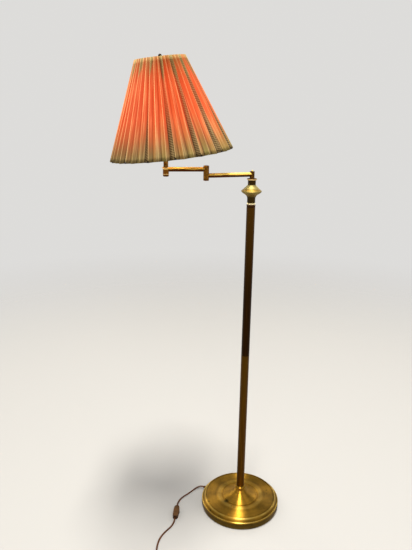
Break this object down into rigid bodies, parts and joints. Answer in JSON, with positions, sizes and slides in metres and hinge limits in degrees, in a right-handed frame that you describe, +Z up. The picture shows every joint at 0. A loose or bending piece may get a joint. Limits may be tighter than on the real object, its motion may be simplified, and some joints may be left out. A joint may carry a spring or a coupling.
{
  "type": "adjustable arm floor lamp",
  "caption": "Brass floor lamp with a weighted round base, a dark pole, two jointed swing arms and a pleated coral shade on a harp, with its cord coiled on the floor.",
  "frame": {"origin": "on the floor, at the centre of the base's underside, on the pole's axis", "axes": "+Z up the pole; the arms lie towards -X at rest; the front is towards -Y"},
  "size_m": [0.5137, 0.4589, 1.413],
  "materials": {
    "aged_brass": "satin",
    "dark_brass": "satin",
    "bright_brass": "satin",
    "olive_lacquer": "satin",
    "dark_lacquer": "satin",
    "cast_weight": "rough",
    "steel": "satin",
    "frame_metal": "satin",
    "bulb_metal": "satin",
    "felt": "rough",
    "liner_card": "matte",
    "brown_plastic": "satin",
    "black_bakelite": "satin",
    "brown_cord": "satin",
    "bulb_glow": "matte",
    "shade_cloth": "matte"
  },
  "bodies": {
    "stand": {"base_shell": "aged_brass", "base_weight": "cast_weight", "base_felt": "felt", "cord_bushing": "brown_plastic", "base_pipe": "steel", "base_washer": "steel", "base_locknut": "steel", "base_collar": "aged_brass", "pole_foot_plug": "steel", "lower_pole": "olive_lacquer", "pole_coupler": "steel", "upper_pole": "dark_lacquer", "pole_head_plug": "steel", "pole_ring": "dark_lacquer", "vase_pipe": "steel", "vase_lower": "aged_brass", "vase_upper": "aged_brass", "neck_cap": "aged_brass", "pivot_post": "steel", "hub_screw": "aged_brass", "pole_wire": "brown_cord", "supply_cord": "brown_cord", "switch_base": "brown_plastic", "switch_cover": "brown_plastic", "switch_contacts": "bright_brass", "lead_cord": "brown_cord", "cord_coil": "brown_cord", "plug_body": "brown_plastic", "plug_blades": "bright_brass"},
    "switch_wheel": {"switch_wheel": "black_bakelite"},
    "inner_arm": {"pivot_hub": "dark_brass", "inner_arm_tube": "dark_brass", "elbow_lower_knuckle": "dark_brass", "inner_arm_wire": "brown_cord"},
    "outer_arm": {"elbow_upper_knuckle": "dark_brass", "elbow_pin": "steel", "elbow_cap": "dark_brass", "outer_arm_tube": "dark_brass", "end_knuckle": "dark_brass", "outer_arm_wire": "brown_cord"},
    "lamp_head": {"head_pipe": "steel", "riser_tube": "dark_brass", "riser_cap": "dark_brass", "harp_saddle": "bright_brass", "saddle_nut": "bright_brass", "harp": "bright_brass", "harp_ferrules": "bright_brass", "socket_cap": "bright_brass", "socket_shell": "bright_brass", "socket_liner": "liner_card", "socket_insulator": "black_bakelite", "screw_shell": "steel", "bulb_cap": "bulb_metal", "bulb_glass": "bulb_glow", "head_wire": "brown_cord", "finial": "dark_brass", "shade_spider": "frame_metal", "shade_bottom_ring": "frame_metal", "shade_ribs": "frame_metal", "pleated_shade": "shade_cloth"}
  },
  "joints": [
    {"name": "inner_arm_swing", "type": "hinge", "parent": "stand", "child": "inner_arm", "pos_m": [0, 0, 1.1], "axis": [0, 0, 1], "range_deg": [-120, 120]},
    {"name": "elbow_swing", "type": "hinge", "parent": "inner_arm", "child": "outer_arm", "pos_m": [-0.12848, -0.03806, 1.11], "axis": [0, 0, 1], "range_deg": [-110, 130]},
    {"name": "head_turn", "type": "hinge", "parent": "outer_arm", "child": "lamp_head", "pos_m": [-0.23777, -0.05051, 1.12], "axis": [0, 0, 1], "range_deg": [-120, 120]},
    {"name": "switch_wheel_turn", "type": "hinge", "parent": "stand", "child": "switch_wheel", "pos_m": [-0.20761, -0.0563, 0.006], "axis": [0, 0, 1], "continuous": true}
  ]
}
